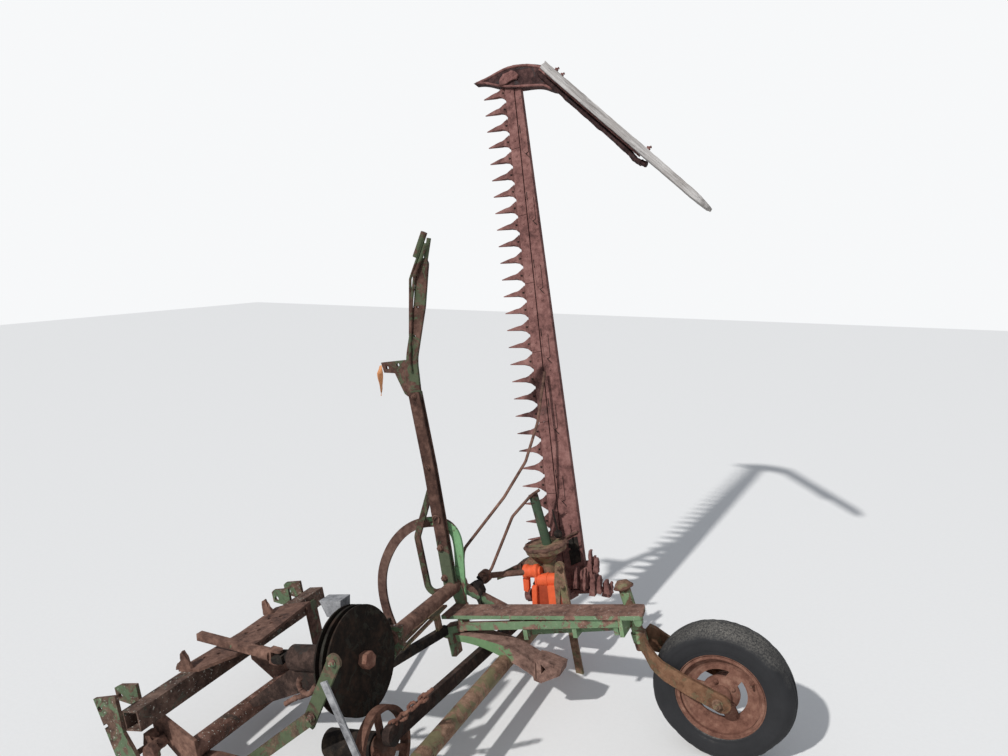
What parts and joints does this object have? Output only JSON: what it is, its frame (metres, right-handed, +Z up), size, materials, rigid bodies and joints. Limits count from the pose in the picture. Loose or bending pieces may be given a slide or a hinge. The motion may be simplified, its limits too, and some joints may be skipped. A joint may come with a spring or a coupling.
{
  "type": "folded sickle bar mower",
  "caption": "Old tractor sickle bar mower parked with its cutter bar folded up, with a wooden grass board, a lift lever, a belt sheave and a caster wheel.",
  "frame": {"origin": "Middle of the floor under the parked mower", "axes": "+X to the rear of the mower, +Y to its right, +Z up"},
  "size_m": [2.0094, 1.8994, 2.4753],
  "materials": {
    "rust_frame": "old green paint gone to brown rust, pitted and matt",
    "faded_green": "faded green paint worn through to rust on the edges and tops",
    "worn_green": "brown rust with thin faded green paint left in patches",
    "bar_rust": "even purple-brown rust, dry and matt",
    "dark_grease": "old black grease and dust over rust",
    "hub_rust": "bright orange rust",
    "orange_paint": "orange-red paint, chipped",
    "old_wood": "grey weathered plank, cracked along the grain",
    "olive_rust": "brown rust with an olive cast of thin old paint and lichen",
    "bare_steel": "dull grey bare steel",
    "tyre_rubber": "dusty dark grey rubber"
  },
  "bodies": {
    "cutter_bar": {"guards": "bar_rust", "bar_plate": "bar_rust", "knife": "bar_rust", "hold_downs": "bar_rust", "inner_shoe": "bar_rust", "outer_shoe": "bar_rust", "grass_board": "old_wood", "board_strap": "bar_rust"},
    "caster": {"caster_stem": "olive_rust", "fork_left": "olive_rust", "fork_right": "olive_rust", "axle": "hub_rust"},
    "wheel": {"tyre": "tyre_rubber", "rim": "hub_rust"},
    "lift_lever": {"rockshaft": "rust_frame", "lever_lower": "rust_frame", "lever_upper": "rust_frame", "lift_link": "rust_frame"},
    "drive": {"drive_shaft": "dark_grease", "sheave": "dark_grease", "sheave_nut": "hub_rust"},
    "input": {"input_stub": "rust_frame"},
    "root": {"beam_bracket": "faded_green", "brace_pipe": "faded_green", "caster_tube": "faded_green", "crank_housing": "dark_grease", "curved_arm": "faded_green", "drawbar_plate": "rust_frame", "drive_housing": "dark_grease", "flywheel": "hub_rust", "fold_yoke": "orange_paint", "foot_right": "worn_green", "front_pipe": "rust_frame", "gray_strap": "bare_steel", "hanger_left": "rust_frame", "hanger_right": "rust_frame", "hitch_tube": "rust_frame", "hold_up_rod": "rust_frame", "housing_post": "dark_grease", "left_bearing": "worn_green", "left_rail": "rust_frame", "lift_cup": "olive_rust", "lift_tube": "faded_green", "lower_beam": "faded_green", "lug_left": "worn_green", "lug_right_inner": "worn_green", "lug_right_outer": "worn_green", "pipe_hooks": "rust_frame", "pitman": "rust_frame", "push_rod": "rust_frame", "quadrant_bow": "faded_green", "rear_pipe": "olive_rust", "right_rail": "dark_grease", "slotted_bar": "olive_rust", "strap_left": "worn_green", "tension_arm": "faded_green", "trip_rod": "rust_frame", "upper_beam": "faded_green", "yoke_foot": "olive_rust"}
  },
  "joints": [
    {"name": "bar_fold", "type": "hinge", "parent": "root", "child": "cutter_bar", "pos_m": [0.01624, 0.37711, 0.26204], "axis": [0.9781, 0, 0.2079], "range_deg": [-78.9, 0]},
    {"name": "caster_swivel", "type": "hinge", "parent": "root", "child": "caster", "pos_m": [0.49744, 0.03711, 0.33569], "axis": [-0.3386, 0, 0.9409], "range_deg": [-135, 135]},
    {"name": "wheel_spin", "type": "hinge", "parent": "caster", "child": "wheel", "pos_m": [0.77571, 0.03711, 0.229], "axis": [0, 1, 0], "continuous": true},
    {"name": "lever_swing", "type": "hinge", "parent": "root", "child": "lift_lever", "pos_m": [-0.23149, 0.02011, 0.3934], "axis": [0, -1, 0], "range_deg": [0, 45]},
    {"name": "drive_spin", "type": "hinge", "parent": "root", "child": "drive", "pos_m": [-0.29098, -0.58289, 0.39916], "axis": [0.9781, 0, 0.2079], "continuous": true},
    {"name": "input_spin", "type": "hinge", "parent": "root", "child": "input", "pos_m": [-0.54824, -0.58289, 0.34448], "axis": [0.9998, 0, 0.0192], "continuous": true}
  ],
  "couplings": [
    {"joint": "input_spin", "follows": "drive_spin", "ratio": 1}
  ]
}
